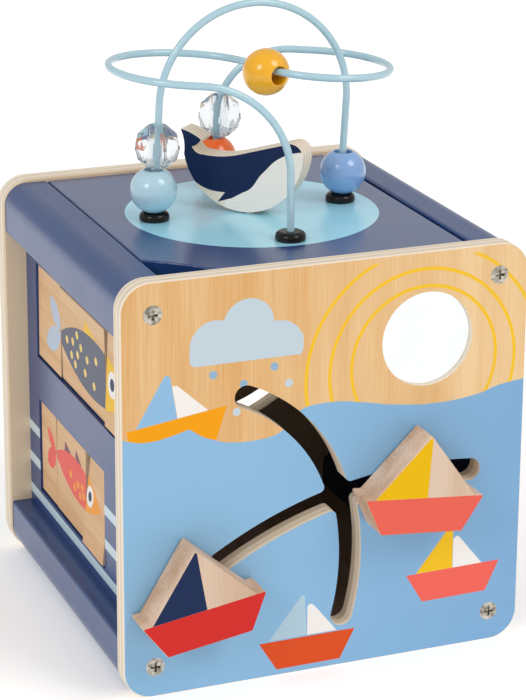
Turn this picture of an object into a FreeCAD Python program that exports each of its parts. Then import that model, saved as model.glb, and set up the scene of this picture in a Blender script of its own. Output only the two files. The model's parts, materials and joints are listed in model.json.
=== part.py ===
"""Wooden activity cube: a plywood and painted-board box with sliders, flip tiles, gears and a bead maze on its lid.

Millimetres. X runs left to right, Y front to back and Z up. The origin is under the middle of the cube, on the
surface that it stands on. Each function below makes one kind of piece, and main() writes every piece to parts/.
"""
import FreeCAD, Part
import math
import os

V = FreeCAD.Vector

# ---- the cube -----------------------------------------------------------------------------------------------
WIDTH = 200.0            # of the front and rear panels, and their height
DEPTH = 196.0            # from the front panel's face to the rear panel's face
PANEL_T = 10.5           # plywood thickness
PANEL_CORNER_R = 14.0
PANEL_EDGE_R = 1.2       # round-over along the panels' outlines
HALF_W = WIDTH / 2
HALF_D = DEPTH / 2
INNER_Y = HALF_D - PANEL_T          # the inner faces of the two panels
MID_Z = WIDTH / 2

RAIL_OUT_X = 99.0        # outer face of the four corner rails
RAIL_W = 22.4
RAIL_H = 25.3
RAIL_Z_INSET = 2.0       # the rails stop this far inside the panels, top and bottom
RAIL_ROUND_R = 11.0      # their big outer round
RAIL_EDGE_R = 1.5
RAIL_IN_X = RAIL_OUT_X - RAIL_W
TOP_Z = WIDTH - RAIL_Z_INSET        # top of the rails and of the lid
BOARD_LOW_Z = RAIL_Z_INSET + RAIL_H
BOARD_HIGH_Z = TOP_Z - RAIL_H
BOARD_OUT_X = 88.5       # outer face of the recessed side boards
BOARD_T = 9.0
BASE_T = 8.0
JOIN_GAP = 0.05          # glue line, and the clearance of a fixed pin in its hole

SCREW_X = 85.0           # the panels' screws, from the middle
SCREW_HEAD_R = 4.5
SCREW_HEAD_H = 2.75
SCREW_DOME_H = 0.5
SCREW_SHANK_R = 1.75
SCREW_LENGTH = 32.0
CROSS_LENGTH = 4.6
CROSS_WIDTH = 1.1
CROSS_DEPTH = 1.5

# ---- front panel: mirror and the crossing slots -------------------------------------------------------------
MIRROR_X = 48.9
MIRROR_Z = 158.0
MIRROR_R = 22.8
MIRROR_POCKET = 4.0
MIRROR_T = 2.0
SLOT_W = 11.2
SLOT_BLEND_R = 2.5       # rounds the four corners where the slots cross
SWEEP_X = 51.3           # centre of the long slot that runs from low left to the right
SWEEP_Z = -110.5
SWEEP_R = 201.7
SWEEP_LEFT = 126.4       # its two ends, as angles about that centre
SWEEP_RIGHT = 84.0
HOOK_X = -71.8           # centre of the upper left slot
HOOK_Z = 67.8
HOOK_R = 79.6
HOOK_START = 67.0
HOOK_END = 15.0
DROP_X = -113.4          # centre of the lower slot
DROP_Z = 57.0
DROP_R = 125.0
DROP_START = 12.4
DROP_END = -14.3
CROSSING_X = 7.0         # where the slots cross
CROSSING_Z = 86.5

# ---- rear panel: one slot shaped like a smile ---------------------------------------------------------------
SMILE_Z = 142.0
SMILE_R = 86.0
SMILE_HALF_ANGLE = 46.0

# ---- the sliders --------------------------------------------------------------------------------------------
SLIDER_T = 17.5          # thickness of a boat or fish block
SLIDER_GAP = 0.7         # between a block and the panel that it slides over
BOAT_LENGTH = 60.6
BOAT_KEEL = 41.4
HULL_H = 17.5
SAIL_H = 30.2
SAIL_BASE = 51.4
BOAT_PIVOT_UP = 4.0      # the peg stands this far above the hull's top edge
BOAT_ONE_ANGLE = 126.2   # where each boat stands along the long slot
BOAT_TWO_ANGLE = 92.7
BOAT_ONE_LEAN = 9.0      # how far each boat leans, anticlockwise from the front
BOAT_TWO_LEAN = -5.3
BLOCK_EDGE_R = 0.8
PEG_R = 5.2
DISC_R = 10.0
DISC_T = 6.0
DISC_GAP = 0.6
TIE_R = 1.75             # the screw that ties a block to its peg
TIE_HEAD_R = 3.6
TIE_HEAD_H = 2.2
TIE_DEPTH = 11.0         # its length inside the block
RUNNING = 0.08           # radial clearance of a turning fit

FISH_LENGTH = 50.0
FISH_H = 28.0
FISH_TAIL = 13.0

# ---- left board: two windows of flip tiles ------------------------------------------------------------------
TILE_H = 48.0
TILE_T = 7.0
TILE_GAP = 0.8           # between neighbouring tiles
TILE_EDGE_R = 0.6
WINDOW_H = 50.0
ROD_X = -(BOARD_OUT_X - BOARD_T / 2)
ROD_R = 1.6
ROWS = {
    "upper": {"z": 136.0, "seams": (71.0, 33.0, -37.5, -75.0), "leans": (-0.5, 1.5, -2.5)},
    "lower": {"z": 63.5, "seams": (70.0, 44.0, -4.0, -36.0), "leans": (0.0, -0.5, -6.0)},
}
TILE_NAMES = ("tail", "middle", "head")

# ---- right board: three meshing gears -----------------------------------------------------------------------
GEAR_MODULE = 4.2
GEAR_PRESSURE = math.radians(25.0)
GEAR_ADDENDUM = 0.8      # of the module
GEAR_DEDENDUM = 1.1
GEAR_BACKLASH = 0.9      # taken off each tooth at the pitch circle
GEAR_T = 7.0
GEAR_GAP = 0.6
GEAR_TEETH = {"large_gear": 18, "upper_gear": 12, "lower_gear": 12}
GEAR_LINE_ANGLE = 140.0  # direction from the large gear to the upper one, from +Y towards +Z
PIN_R = 3.0
PIN_HEAD_R = 6.5
PIN_HEAD_T = 2.0
WINDOW_HOLES = {"large_gear": (6, 24.0, 6.0), "upper_gear": (4, 14.0, 4.2), "lower_gear": (4, 14.0, 4.2)}

# ---- lid, bead wires and beads ------------------------------------------------------------------------------
LID_T = 9.0
LID_LEFT = -76.3
LID_RIGHT = 73.8
LID_END_GAP = 0.3
LID_EDGE_R = 0.8
CUT_X = -44.0            # the finger cut-out takes the lid's front left corner off between these two points
CUT_Y = -57.5
CUT_SAG = 1.0
BATTEN_W = 10.0
BATTEN_END_LEFT = -50.0  # the left batten stops short of the finger cut-out
WIRE_R = 1.8
WIRE_HOLE_R = 1.95
WIRE_TAIL = 9.5          # length of wire below the lid
ARCH_LEFT_X = -49.2      # feet of the arch wire
ARCH_RIGHT_X = 47.3
ARCH_Y = 2.0
ARCH_SPRING_Z = 251.6    # height of its half circle's centre
ARCH_LEAN = math.radians(3.2)    # the arch leans to the right above a small bend
ARCH_BEND_Z = 204.0
ARCH_BEND_R = 40.0
REAR_FOOT = (0.4, 50.0)  # feet of the looped wire
FRONT_FOOT = (-0.8, -51.5)
CROSS_X = 4.0            # where its two loops meet
LOOP_Z = 269.5           # height of its two loops, at the middle
REAR_LOOP_R = 33.7       # the loop that the rear foot leads to, on the right
FRONT_LOOP_R = 38.2
LOOP_TURN = math.radians(8.0)    # turns the pair of loops about Z
LOOP_TILT = math.radians(4.0)    # lifts the left loop
REAR_BEND_R = 35.0
FRONT_BEND_R = 44.0
GROMMET_R = 7.3
GROMMET_H = 4.3
GROMMET_DOME_R = 2.6
GROMMET_FOOT_R = 0.8
NUT_R = 4.0
NUT_H = 3.2
WASHER_R = 5.0
WASHER_T = 0.8
BEAD_R = 11.3
BEAD_HOLE_R = 4.4
BEAD_LIP_R = 0.5
BEAD_STACK_GAP = 0.4
STACKED_BEADS = {        # each bead's foot, its place above it, and how far to the foot's right it hangs
    "bead_light_blue": (0, 0, -0.3),
    "bead_clear_left": (0, 1, 1.7),
    "bead_blue": (1, 0, 1.2),
    "bead_orange": (3, 0, -1.4),
    "bead_clear_rear": (3, 1, 1.7),
}
YELLOW_DROP = 1.7        # how far the yellow bead hangs below its wire
YELLOW_ALONG = 8.5       # degrees round the rear loop from where the loops meet
FACETS = 10
WHALE_T = 12.0
WHALE_TURN = 45.0        # the whale's length points this far to the front of +X
WHALE_LIFT = 0.7
WASHER_CLEARANCE = 0.1   # between the whale and the washer it turns on
BELLY_R = 31.3
BELLY_X = -2.5           # centre of the belly's circle, along the whale from its pivot
WHALE_SCREW_R = 2.0
WHALE_SCREW_DEPTH = 16.0
BEAD_HALF = math.sqrt(BEAD_R ** 2 - BEAD_HOLE_R ** 2)


# ---- helpers ------------------------------------------------------------------------------------------------
def box(x0, x1, y0, y1, z0, z1):
    return Part.makeBox(x1 - x0, y1 - y0, z1 - z0, V(x0, y0, z0))


def cylinder(radius, start, direction, length):
    return Part.makeCylinder(radius, length, start, direction)


def along_y(radius, x, z, y0, y1):
    return cylinder(radius, V(x, y0, z), V(0, 1, 0), y1 - y0)


def outline(points):
    """A closed wire of straight edges through points given as (x, z), in the plane y = 0."""
    corners = [V(x, 0, z) for x, z in points]
    return Part.makePolygon(corners + corners[:1])


def prism(wire, y0, y1):
    """The solid between y0 and y1 whose section is a wire drawn in the plane y = 0."""
    solid = Part.Face(wire).extrude(V(0, y1 - y0, 0))
    solid.translate(V(0, y0, 0))
    return solid


def edges_on(shape, axis, value):
    """The shape's edges that lie wholly in the plane where the given axis has the given value."""
    low = {"x": "XMin", "y": "YMin", "z": "ZMin"}[axis]
    high = {"x": "XMax", "y": "YMax", "z": "ZMax"}[axis]
    return [e for e in shape.Edges
            if abs(getattr(e.BoundBox, low) - value) < 1e-4 and abs(getattr(e.BoundBox, high) - value) < 1e-4]


def edges_along_y(shape):
    return [e for e in shape.Edges if e.BoundBox.YLength > 1.0 and e.BoundBox.XLength + e.BoundBox.ZLength < 1e-4]


def on_circle(cx, cz, radius, degrees):
    angle = math.radians(degrees)
    return V(cx + radius * math.cos(angle), 0, cz + radius * math.sin(angle))


def arc_slot(cx, cz, radius, start, end, width):
    """A face in the plane y = 0: a band of the given width along an arc, with round ends."""
    low, high = min(start, end), max(start, end)
    middle = (low + high) / 2
    outer = radius + width / 2
    inner = radius - width / 2
    half = math.degrees(width / 2 / radius)
    edges = [
        Part.Arc(on_circle(cx, cz, outer, low), on_circle(cx, cz, outer, middle), on_circle(cx, cz, outer, high)),
        Part.Arc(on_circle(cx, cz, outer, high), on_circle(cx, cz, radius, high + half),
                 on_circle(cx, cz, inner, high)),
        Part.Arc(on_circle(cx, cz, inner, high), on_circle(cx, cz, inner, middle), on_circle(cx, cz, inner, low)),
        Part.Arc(on_circle(cx, cz, inner, low), on_circle(cx, cz, radius, low - half),
                 on_circle(cx, cz, outer, low)),
    ]
    return Part.Face(Part.Wire([edge.toShape() for edge in edges]))


# ---- panels, rails and boards -------------------------------------------------------------------------------
def plain_panel():
    """A square plywood panel with round corners and eased edges, its outer face at y = 0 and its body behind."""
    panel = box(-HALF_W, HALF_W, 0, PANEL_T, 0, WIDTH)
    panel = panel.makeFillet(PANEL_CORNER_R, edges_along_y(panel))
    return panel.makeFillet(PANEL_EDGE_R, edges_on(panel, "y", 0) + edges_on(panel, "y", PANEL_T))


def screw_places():
    return [(x, MID_Z + z) for x in (-SCREW_X, SCREW_X) for z in (-SCREW_X, SCREW_X)]


def screw_seat(x, z):
    """What a panel screw needs cut away: its countersink and its shank's hole."""
    cone = Part.makeCone(SCREW_HEAD_R + JOIN_GAP, SCREW_SHANK_R + JOIN_GAP, SCREW_HEAD_H, V(x, 0, z), V(0, 1, 0))
    return cone.fuse(along_y(SCREW_SHANK_R + JOIN_GAP, x, z, 0, SCREW_LENGTH + 1))


def panel_screw(x, z):
    """A countersunk cross-head screw, driven along +Y from y = 0."""
    head = Part.makeCone(SCREW_HEAD_R, SCREW_SHANK_R, SCREW_HEAD_H, V(x, 0, z), V(0, 1, 0))
    dome_r = (SCREW_HEAD_R ** 2 + SCREW_DOME_H ** 2) / (2 * SCREW_DOME_H)
    dome = Part.makeSphere(dome_r, V(x, dome_r - SCREW_DOME_H, z))
    dome = dome.common(along_y(SCREW_HEAD_R, x, z, -SCREW_DOME_H, 0))
    shank = along_y(SCREW_SHANK_R, x, z, 0, SCREW_LENGTH)
    screw = head.fuse(dome).fuse(shank).removeSplitter()
    long, wide, deep = CROSS_LENGTH / 2, CROSS_WIDTH / 2, CROSS_DEPTH
    cross = box(x - long, x + long, -SCREW_DOME_H, deep, z - wide, z + wide)
    cross = cross.fuse(box(x - wide, x + wide, -SCREW_DOME_H, deep, z - long, z + long))
    return screw.cut(cross)


def front_slots():
    """The crossing slots as three cutters: the long sweep, the hook at upper left and the drop below."""
    faces = [arc_slot(SWEEP_X, SWEEP_Z, SWEEP_R, SWEEP_RIGHT, SWEEP_LEFT, SLOT_W),
             arc_slot(HOOK_X, HOOK_Z, HOOK_R, HOOK_END, HOOK_START, SLOT_W),
             arc_slot(DROP_X, DROP_Z, DROP_R, DROP_END, DROP_START, SLOT_W)]
    cutters = [face.extrude(V(0, PANEL_T + 2, 0)) for face in faces]
    for cutter in cutters:
        cutter.translate(V(0, -1, 0))
    return cutters


def crossing_edges(panel):
    """The panel's four sharp corners, front to back, where the slots cross."""
    sharp = [e for e in edges_along_y(panel) if e.BoundBox.YLength > PANEL_T - 2 * PANEL_EDGE_R
             and math.hypot(e.CenterOfMass.x - CROSSING_X, e.CenterOfMass.z - CROSSING_Z) < 2 * SLOT_W]
    print(len(sharp), "corners where the slots cross")
    return sharp


def front_panel():
    panel = plain_panel()
    for x, z in screw_places():
        panel = panel.cut(screw_seat(x, z))
    panel = panel.cut(along_y(MIRROR_R, MIRROR_X, MIRROR_Z, 0, MIRROR_POCKET))
    for cutter in front_slots():
        panel = panel.cut(cutter)
    panel = panel.removeSplitter()
    panel = panel.makeFillet(SLOT_BLEND_R, crossing_edges(panel))
    panel.translate(V(0, -HALF_D, 0))
    return panel


def rear_panel():
    panel = plain_panel()
    for x, z in screw_places():
        panel = panel.cut(screw_seat(x, z))
    panel = turned_to_rear(panel)
    middle = 270.0
    slot = arc_slot(0, SMILE_Z, SMILE_R, middle - SMILE_HALF_ANGLE, middle + SMILE_HALF_ANGLE, SLOT_W)
    slot = slot.extrude(V(0, PANEL_T + 2, 0))
    slot.translate(V(0, INNER_Y - 1, 0))
    return panel.cut(slot)


def turned_to_rear(shape):
    """Takes a shape made for an outer face at y = 0 to the rear panel's outer face."""
    moved = shape.copy()
    moved.rotate(V(0, 0, 0), V(0, 0, 1), 180)
    moved.translate(V(0, HALF_D, 0))
    return moved


def front_screws():
    screws = [panel_screw(x, z) for x, z in screw_places()]
    for screw in screws:
        screw.translate(V(0, -HALF_D, 0))
    return Part.makeCompound(screws)


def rear_screws():
    return Part.makeCompound([turned_to_rear(panel_screw(x, z)) for x, z in screw_places()])


def rail(side, top):
    """One corner rail. side is -1 on the left and 1 on the right; top says which end of the cube it is at."""
    x0, x1 = sorted((side * RAIL_IN_X, side * RAIL_OUT_X))
    z0 = BOARD_HIGH_Z if top else RAIL_Z_INSET
    z1 = z0 + RAIL_H
    solid = box(x0, x1, -INNER_Y, INNER_Y, z0, z1)
    outer_z = z1 if top else z0
    corner = [e for e in edges_along_y(solid)
              if abs(e.CenterOfMass.x - side * RAIL_OUT_X) < 0.1 and abs(e.CenterOfMass.z - outer_z) < 0.1]
    others = [e for e in edges_along_y(solid) if not e.isSame(corner[0])]
    solid = solid.makeFillet(RAIL_EDGE_R, others)
    corner = [e for e in edges_along_y(solid)
              if abs(e.CenterOfMass.x - side * RAIL_OUT_X) < 0.1 and abs(e.CenterOfMass.z - outer_z) < 0.1]
    solid = solid.makeFillet(RAIL_ROUND_R, corner)
    z = MID_Z + (SCREW_X if top else -SCREW_X)
    reach = HALF_D - SCREW_LENGTH - 1
    for y0, y1 in ((-HALF_D, -reach), (reach, HALF_D)):
        solid = solid.cut(along_y(SCREW_SHANK_R + JOIN_GAP, side * SCREW_X, z, y0, y1))
    return solid


def mirror_disc():
    face_y = -HALF_D + MIRROR_POCKET - MIRROR_T
    return along_y(MIRROR_R - JOIN_GAP, MIRROR_X, MIRROR_Z, face_y, face_y + MIRROR_T)


def left_board():
    board = box(-BOARD_OUT_X, -BOARD_OUT_X + BOARD_T, -INNER_Y, INNER_Y, BOARD_LOW_Z, BOARD_HIGH_Z)
    for row in ROWS.values():
        first, last = row["seams"][0], row["seams"][-1]
        low, high = row["z"] - WINDOW_H / 2, row["z"] + WINDOW_H / 2
        board = board.cut(box(-BOARD_OUT_X - 1, -BOARD_OUT_X + BOARD_T + 1, last, first, low, high))
        board = board.cut(along_y(ROD_R + JOIN_GAP, ROD_X, row["z"], rod_start(row), INNER_Y))
    return board


def right_board():
    board = box(BOARD_OUT_X - BOARD_T, BOARD_OUT_X, -INNER_Y, INNER_Y, BOARD_LOW_Z, BOARD_HIGH_Z)
    for y, z in gear_centres().values():
        board = board.cut(cylinder(PIN_R + JOIN_GAP, V(BOARD_OUT_X - BOARD_T, y, z), V(1, 0, 0), BOARD_T))
    return board


def base_board():
    low = 2 * RAIL_Z_INSET
    return box(-RAIL_IN_X, RAIL_IN_X, -INNER_Y, INNER_Y, low, low + BASE_T)


# ---- flip tiles ---------------------------------------------------------------------------------------------
def rod_start(row):
    """The rod's blind end, a little way into the board past the last tile."""
    return row["seams"][-1] - 9.0


def tile_rod(row):
    start = rod_start(row) + JOIN_GAP
    return along_y(ROD_R, ROD_X, row["z"], start, INNER_Y - JOIN_GAP)


def tile(row, index):
    """A flat tile on its rod, leaning by its own few degrees."""
    y1 = row["seams"][index] - TILE_GAP / 2
    y0 = row["seams"][index + 1] + TILE_GAP / 2
    half_t, half_h = TILE_T / 2, TILE_H / 2
    solid = box(ROD_X - half_t, ROD_X + half_t, y0, y1, row["z"] - half_h, row["z"] + half_h)
    solid = solid.makeFillet(TILE_EDGE_R, solid.Edges)
    solid = solid.cut(along_y(ROD_R + RUNNING, ROD_X, row["z"], y0, y1))
    solid.rotate(V(ROD_X, 0, row["z"]), V(0, 1, 0), -row["leans"][index])
    return solid


# ---- sliders ------------------------------------------------------------------------------------------------
def boat_outline():
    """Hull and sails as (x, z), from the peg's axis, for a boat that doesn't lean."""
    deck = -BOAT_PIVOT_UP
    half, keel, sail = BOAT_LENGTH / 2, BOAT_KEEL / 2, SAIL_BASE / 2
    return [(-half, deck), (-keel, deck - HULL_H), (keel, deck - HULL_H), (half, deck),
            (sail, deck), (0, deck + SAIL_H), (-sail, deck)]


def block(points):
    """A slider's block: an eased prism drilled for its tie screw, its back at y = 0 and its front at -SLIDER_T."""
    solid = prism(outline(points), -SLIDER_T, 0)
    solid = solid.makeFillet(BLOCK_EDGE_R, solid.Edges)
    return solid.cut(along_y(TIE_R + JOIN_GAP, 0, 0, -TIE_DEPTH - JOIN_GAP, 0))


def peg():
    """The wooden peg in the slot, from y = 0 at the block's back to the retaining disc, drilled for the screw."""
    length = SLIDER_GAP + PANEL_T + DISC_GAP
    return along_y(PEG_R, 0, 0, RUNNING, length).cut(along_y(TIE_R + RUNNING, 0, 0, 0, length))


def disc():
    start = SLIDER_GAP + PANEL_T + DISC_GAP
    solid = along_y(DISC_R, 0, 0, start, start + DISC_T)
    solid = solid.makeFillet(BLOCK_EDGE_R, edges_on(solid, "y", start + DISC_T))
    return solid.cut(along_y(TIE_R + RUNNING, 0, 0, start, start + DISC_T))


def tie_screw():
    back = SLIDER_GAP + PANEL_T + DISC_GAP + DISC_T
    head = along_y(TIE_HEAD_R, 0, 0, back + RUNNING, back + RUNNING + TIE_HEAD_H)
    return head.fuse(along_y(TIE_R, 0, 0, -TIE_DEPTH, back + RUNNING + TIE_HEAD_H)).removeSplitter()


def placed_front(shape, angle, lean):
    """Stands a slider's piece on the long slot at the given angle, leaning anticlockwise as seen from the front."""
    moved = shape.copy()
    moved.rotate(V(0, 0, 0), V(0, 1, 0), -lean)
    place = on_circle(SWEEP_X, SWEEP_Z, SWEEP_R, angle)
    moved.translate(V(place.x, -HALF_D - SLIDER_GAP, place.z))
    return moved


def placed_rear(shape):
    """Stands a slider's piece at the bottom of the rear panel's slot."""
    moved = shape.copy()
    moved.rotate(V(0, 0, 0), V(0, 0, 1), 180)
    moved.translate(V(0, HALF_D + SLIDER_GAP, SMILE_Z - SMILE_R))
    return moved


def fish_block():
    """A fish with a lens-shaped body and a notched tail, drilled like the boats."""
    nose = FISH_LENGTH / 2
    waist = nose - FISH_TAIL - FISH_TAIL / 2
    tail = FISH_H * 0.38
    body = [
        Part.Arc(V(-waist, 0, FISH_H * 0.13), V(3, 0, FISH_H / 2), V(nose, 0, 0)).toShape(),
        Part.Arc(V(nose, 0, 0), V(3, 0, -FISH_H / 2), V(-waist, 0, -FISH_H * 0.13)).toShape(),
        Part.makePolygon([V(-waist, 0, -FISH_H * 0.13), V(-nose, 0, -tail), V(-nose + FISH_TAIL * 0.4, 0, 0),
                          V(-nose, 0, tail), V(-waist, 0, FISH_H * 0.13)]),
    ]
    edges = body[0].Edges + body[1].Edges + body[2].Edges
    solid = prism(Part.Wire(edges), -SLIDER_T, 0)
    rims = edges_on(solid, "y", 0) + edges_on(solid, "y", -SLIDER_T)
    solid = solid.makeChamfer(BLOCK_EDGE_R, rims)
    return solid.cut(along_y(TIE_R + JOIN_GAP, 0, 0, -TIE_DEPTH - JOIN_GAP, 0))


# ---- gears --------------------------------------------------------------------------------------------------
def pitch_radius(name):
    return GEAR_MODULE * GEAR_TEETH[name] / 2


def gear_centres():
    """(y, z) of each gear: the large one in the middle of the board, the others on one line through it."""
    distance = pitch_radius("large_gear") + pitch_radius("upper_gear")
    angle = math.radians(GEAR_LINE_ANGLE)
    dy, dz = distance * math.cos(angle), distance * math.sin(angle)
    return {"large_gear": (0.0, MID_Z), "upper_gear": (dy, MID_Z + dz), "lower_gear": (-dy, MID_Z - dz)}


def involute(base, radius):
    """The angle that an involute of the given base circle has turned through at a radius."""
    ratio = math.sqrt((radius / base) ** 2 - 1)
    return ratio - math.atan(ratio)


def gear_outline(teeth):
    """A spur gear's outline in the plane x = 0, with one tooth centred on +Y."""
    pitch = GEAR_MODULE * teeth / 2
    base = pitch * math.cos(GEAR_PRESSURE)
    tip = pitch + GEAR_MODULE * GEAR_ADDENDUM
    root = pitch - GEAR_MODULE * GEAR_DEDENDUM
    half_tooth = (math.pi * GEAR_MODULE / 2 - GEAR_BACKLASH) / 2 / pitch
    start = max(base, root)
    steps = 4
    radii = [start + (tip - start) * i / steps for i in range(steps + 1)]

    def point(radius, angle):
        return V(0, radius * math.cos(angle), radius * math.sin(angle))

    def flank(radius):
        return half_tooth + involute(base, pitch) - involute(base, radius)

    edges = []
    for i in range(teeth):
        middle = 2 * math.pi * i / teeth
        following = 2 * math.pi * (i + 1) / teeth
        rising = [point(r, middle - flank(r)) for r in radii]
        falling = [point(r, middle + flank(r)) for r in reversed(radii)]
        foot_a = point(root, middle - flank(start))
        foot_b = point(root, middle + flank(start))
        next_foot = point(root, following - flank(start))
        for points in (rising, falling):
            curve = Part.BSplineCurve()
            curve.interpolate(points)
            edges.append(curve.toShape())
        edges.append(Part.Arc(rising[-1], point(tip, middle), falling[0]).toShape())
        edges.append(Part.Arc(foot_b, point(root, (middle + following) / 2), next_foot).toShape())
        if root < start - 1e-6:
            edges.append(Part.LineSegment(foot_a, rising[0]).toShape())
            edges.append(Part.LineSegment(falling[-1], foot_b).toShape())
    return Part.Wire(Part.__sortEdges__(edges))


def gear_turn(name):
    """Degrees that a gear is turned about X so that its teeth meet the large gear's."""
    if name == "large_gear":
        return GEAR_LINE_ANGLE
    half_pitch = 180.0 / GEAR_TEETH[name]
    return GEAR_LINE_ANGLE + (180.0 + half_pitch if name == "upper_gear" else half_pitch)


def gear(name):
    y, z = gear_centres()[name]
    solid = Part.Face(gear_outline(GEAR_TEETH[name])).extrude(V(GEAR_T, 0, 0))
    solid = solid.cut(cylinder(PIN_R + RUNNING, V(0, 0, 0), V(1, 0, 0), GEAR_T))
    count, ring, radius = WINDOW_HOLES[name]
    for i in range(count):
        angle = 2 * math.pi * (i + 0.5) / count
        centre = V(0, ring * math.cos(angle), ring * math.sin(angle))
        solid = solid.cut(cylinder(radius, centre, V(1, 0, 0), GEAR_T))
    solid.rotate(V(0, 0, 0), V(1, 0, 0), gear_turn(name))
    solid.translate(V(BOARD_OUT_X + GEAR_GAP, y, z))
    return solid


def gear_pins():
    head_x = BOARD_OUT_X + GEAR_GAP + GEAR_T + GEAR_GAP / 2
    pins = []
    for y, z in gear_centres().values():
        stem = cylinder(PIN_R, V(BOARD_OUT_X - BOARD_T, y, z), V(1, 0, 0), head_x - BOARD_OUT_X + BOARD_T)
        head = cylinder(PIN_HEAD_R, V(head_x, y, z), V(1, 0, 0), PIN_HEAD_T)
        head = head.makeFillet(BLOCK_EDGE_R, edges_on(head, "x", head_x + PIN_HEAD_T))
        pins.append(stem.fuse(head).removeSplitter())
    return Part.makeCompound(pins)


# ---- lid ----------------------------------------------------------------------------------------------------
def wire_feet():
    """The left and right feet of the arch wire, then the front and rear feet of the looped wire."""
    return [V(ARCH_LEFT_X, ARCH_Y, 0), V(ARCH_RIGHT_X, ARCH_Y, 0), V(*FRONT_FOOT, 0), V(*REAR_FOOT, 0)]


def lid():
    front, back = -INNER_Y + LID_END_GAP, INNER_Y - LID_END_GAP
    bottom = TOP_Z - LID_T
    a, b = V(LID_LEFT, CUT_Y, bottom), V(CUT_X, front, bottom)
    inward = V(b.y - a.y, a.x - b.x, 0).normalize() * -CUT_SAG
    cut = Part.Arc(a, (a + b) * 0.5 + inward, b).toShape()
    sides = Part.makePolygon([b, V(LID_RIGHT, front, bottom), V(LID_RIGHT, back, bottom),
                              V(LID_LEFT, back, bottom), a])
    solid = Part.Face(Part.Wire([cut] + sides.Edges)).extrude(V(0, 0, LID_T))
    solid = solid.makeFillet(LID_EDGE_R, edges_on(solid, "z", TOP_Z))
    for foot in wire_feet():
        solid = solid.cut(cylinder(WIRE_HOLE_R, V(foot.x, foot.y, bottom), V(0, 0, 1), LID_T))
    return solid.cut(cylinder(WHALE_SCREW_R + RUNNING, V(0, 0, bottom), V(0, 0, 1), LID_T))


def lid_batten(side):
    x0, x1 = sorted((side * (RAIL_IN_X - BATTEN_W), side * RAIL_IN_X))
    front = BATTEN_END_LEFT if side < 0 else -INNER_Y
    top = TOP_Z - LID_T
    return box(x0, x1, front, INNER_Y, top - BATTEN_W, top)


def grommets():
    """The soft collars that the wires stand in."""
    collars = []
    for foot in wire_feet():
        collar = cylinder(GROMMET_R, V(foot.x, foot.y, TOP_Z), V(0, 0, 1), GROMMET_H)
        collar = collar.makeFillet(GROMMET_DOME_R, edges_on(collar, "z", TOP_Z + GROMMET_H))
        collar = collar.makeFillet(GROMMET_FOOT_R, edges_on(collar, "z", TOP_Z))
        collars.append(collar.cut(cylinder(WIRE_R + JOIN_GAP, V(foot.x, foot.y, TOP_Z), V(0, 0, 1), GROMMET_H)))
    return Part.makeCompound(collars)


def wire_washers():
    top = TOP_Z - LID_T
    rings = []
    for foot in wire_feet():
        ring = cylinder(WASHER_R, V(foot.x, foot.y, top - WASHER_T), V(0, 0, 1), WASHER_T)
        rings.append(ring.cut(cylinder(WIRE_R + JOIN_GAP, V(foot.x, foot.y, top - WASHER_T), V(0, 0, 1), WASHER_T)))
    return Part.makeCompound(rings)


def wire_nuts():
    top = TOP_Z - LID_T - WASHER_T
    nuts = []
    for foot in wire_feet():
        corners = [V(foot.x + NUT_R * math.cos(math.radians(60 * i)), foot.y + NUT_R * math.sin(math.radians(60 * i)),
                     top - NUT_H) for i in range(6)]
        nut = Part.Face(Part.makePolygon(corners + corners[:1])).extrude(V(0, 0, NUT_H))
        nuts.append(nut.cut(cylinder(WIRE_R + JOIN_GAP, V(foot.x, foot.y, top - NUT_H), V(0, 0, 1), NUT_H)))
    return Part.makeCompound(nuts)


def swept(edges, start, direction):
    """The round wire along a path of straight and arc edges."""
    circle = Part.Wire(Part.Circle(start, direction, WIRE_R).toShape())
    path = Part.Wire(edges)
    solid = path.makePipeShell([circle], True, False)
    expected = math.pi * WIRE_R ** 2 * path.Length
    print("wire length %.1f, volume %.3f of its section times its length" % (path.Length, solid.Volume / expected))
    return solid


def leaning_leg(x, length):
    """A foot of the arch: straight up through the lid, a small bend, and a straight leg of the given length."""
    lean = V(math.sin(ARCH_LEAN), 0, math.cos(ARCH_LEAN))
    setback = ARCH_BEND_R * math.tan(ARCH_LEAN / 2)
    knee = V(x, ARCH_Y, ARCH_BEND_Z)
    bend_start, bend_end = knee - V(0, 0, setback), knee + lean * setback
    centre = bend_start + V(ARCH_BEND_R, 0, 0)
    half = ARCH_LEAN / 2
    bend_middle = centre + V(-math.cos(half), 0, math.sin(half)) * ARCH_BEND_R
    foot, end = V(x, ARCH_Y, TOP_Z - LID_T - WIRE_TAIL), knee + lean * length
    edges = [Part.LineSegment(foot, bend_start).toShape(),
             Part.Arc(bend_start, bend_middle, bend_end).toShape(),
             Part.LineSegment(bend_end, end).toShape()]
    return edges, foot, end


def arch_wire():
    span = ARCH_RIGHT_X - ARCH_LEFT_X
    mean = (ARCH_SPRING_Z - ARCH_BEND_Z) / math.cos(ARCH_LEAN)
    skew = span * math.sin(ARCH_LEAN) / 2
    left, foot, left_end = leaning_leg(ARCH_LEFT_X, mean + skew)
    right, _, right_end = leaning_leg(ARCH_RIGHT_X, mean - skew)
    radius = (right_end - left_end).Length / 2
    crown = (left_end + right_end) * 0.5 + V(math.sin(ARCH_LEAN), 0, math.cos(ARCH_LEAN)) * radius
    top = Part.Arc(left_end, crown, right_end).toShape()
    return swept(left + [top] + list(reversed(right)), foot, V(0, 0, 1))


def loop_point(x, y):
    """A point of the tilted plane that holds both loops, from its x and y."""
    return V(x * math.cos(LOOP_TILT), y, LOOP_Z - x * math.sin(LOOP_TILT))


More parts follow.
